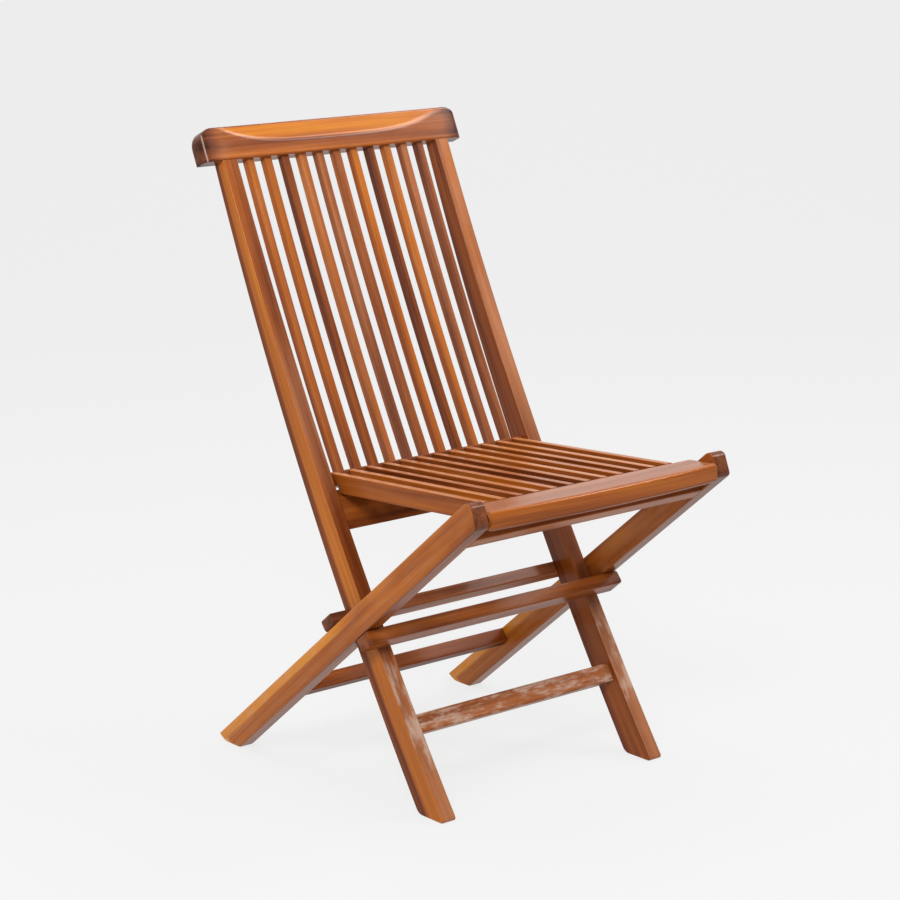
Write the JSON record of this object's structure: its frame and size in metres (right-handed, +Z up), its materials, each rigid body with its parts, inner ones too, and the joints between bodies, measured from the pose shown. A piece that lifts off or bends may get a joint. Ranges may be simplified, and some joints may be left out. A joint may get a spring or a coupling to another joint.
{
  "type": "folding chair",
  "caption": "Armless folding chair in varnished hardwood, with a slatted seat, a leaning slatted back and crossed legs that fold flat.",
  "frame": {"origin": "middle of the footprint, on the floor", "axes": "+X across the chair, to the right of someone looking along +Y; +Y towards the back, the sitter faces -Y; +Z up"},
  "size_m": [0.47, 0.6332, 0.8965],
  "materials": {
    "teak_streaked": "gloss varnish, orange and brown streaks",
    "teak_two_tone": "gloss varnish, two tones",
    "teak_golden": "gloss varnish, golden orange",
    "teak_brown": "gloss varnish, mid brown",
    "teak_dark": "gloss varnish, dark brown",
    "teak_slat": "gloss varnish, mixed browns",
    "steel": "satin",
    "brass": "satin"
  },
  "bodies": {
    "back_frame": {"left_post": "teak_streaked", "right_post": "teak_streaked", "crest_rail": "teak_golden", "back_slat_01": "teak_slat", "back_slat_02": "teak_slat", "back_slat_03": "teak_slat", "back_slat_04": "teak_slat", "back_slat_05": "teak_slat", "back_slat_06": "teak_slat", "back_slat_07": "teak_slat", "back_slat_08": "teak_slat", "back_slat_09": "teak_slat", "back_slat_10": "teak_slat", "back_slat_11": "teak_slat", "lower_back_rail": "teak_brown", "seat_rest_rail": "teak_dark", "front_stop_bar": "teak_brown", "rear_stop_bar": "teak_brown", "front_stretcher": "teak_brown", "pivot_pins": "steel", "pivot_plugs": "teak_brown", "pivot_washers": "brass", "stop_bar_dowels": "teak_brown"},
    "leg_frame": {"left_leg": "teak_two_tone", "right_leg": "teak_two_tone", "leg_top_stretcher": "teak_brown", "leg_lower_stretcher": "teak_dark", "seat_pins": "steel", "seat_washers": "brass"},
    "seat": {"seat_front_rail": "teak_golden", "left_seat_rail": "teak_brown", "right_seat_rail": "teak_brown", "seat_slat_01": "teak_slat", "seat_slat_02": "teak_slat", "seat_slat_03": "teak_slat", "seat_slat_04": "teak_slat", "seat_slat_05": "teak_slat", "seat_slat_06": "teak_slat", "seat_slat_07": "teak_slat", "seat_slat_08": "teak_slat", "seat_slat_09": "teak_slat", "seat_slat_10": "teak_slat", "seat_rear_cleat": "teak_dark", "seat_mid_cleat": "teak_dark", "cleat_screws": "steel"}
  },
  "joints": [
    {"name": "leg_fold", "type": "hinge", "parent": "back_frame", "child": "leg_frame", "pos_m": [0, -0.0327, 0.2346], "axis": [-1, 0, 0], "range_deg": [0, 72]},
    {"name": "seat_fold", "type": "hinge", "parent": "leg_frame", "child": "seat", "pos_m": [0, -0.29328, 0.44202], "axis": [1, 0, 0], "range_deg": [0, 138.3]}
  ],
  "couplings": [
    {"joint": "seat_fold", "follows": "leg_fold", "ratio": 1.92}
  ]
}
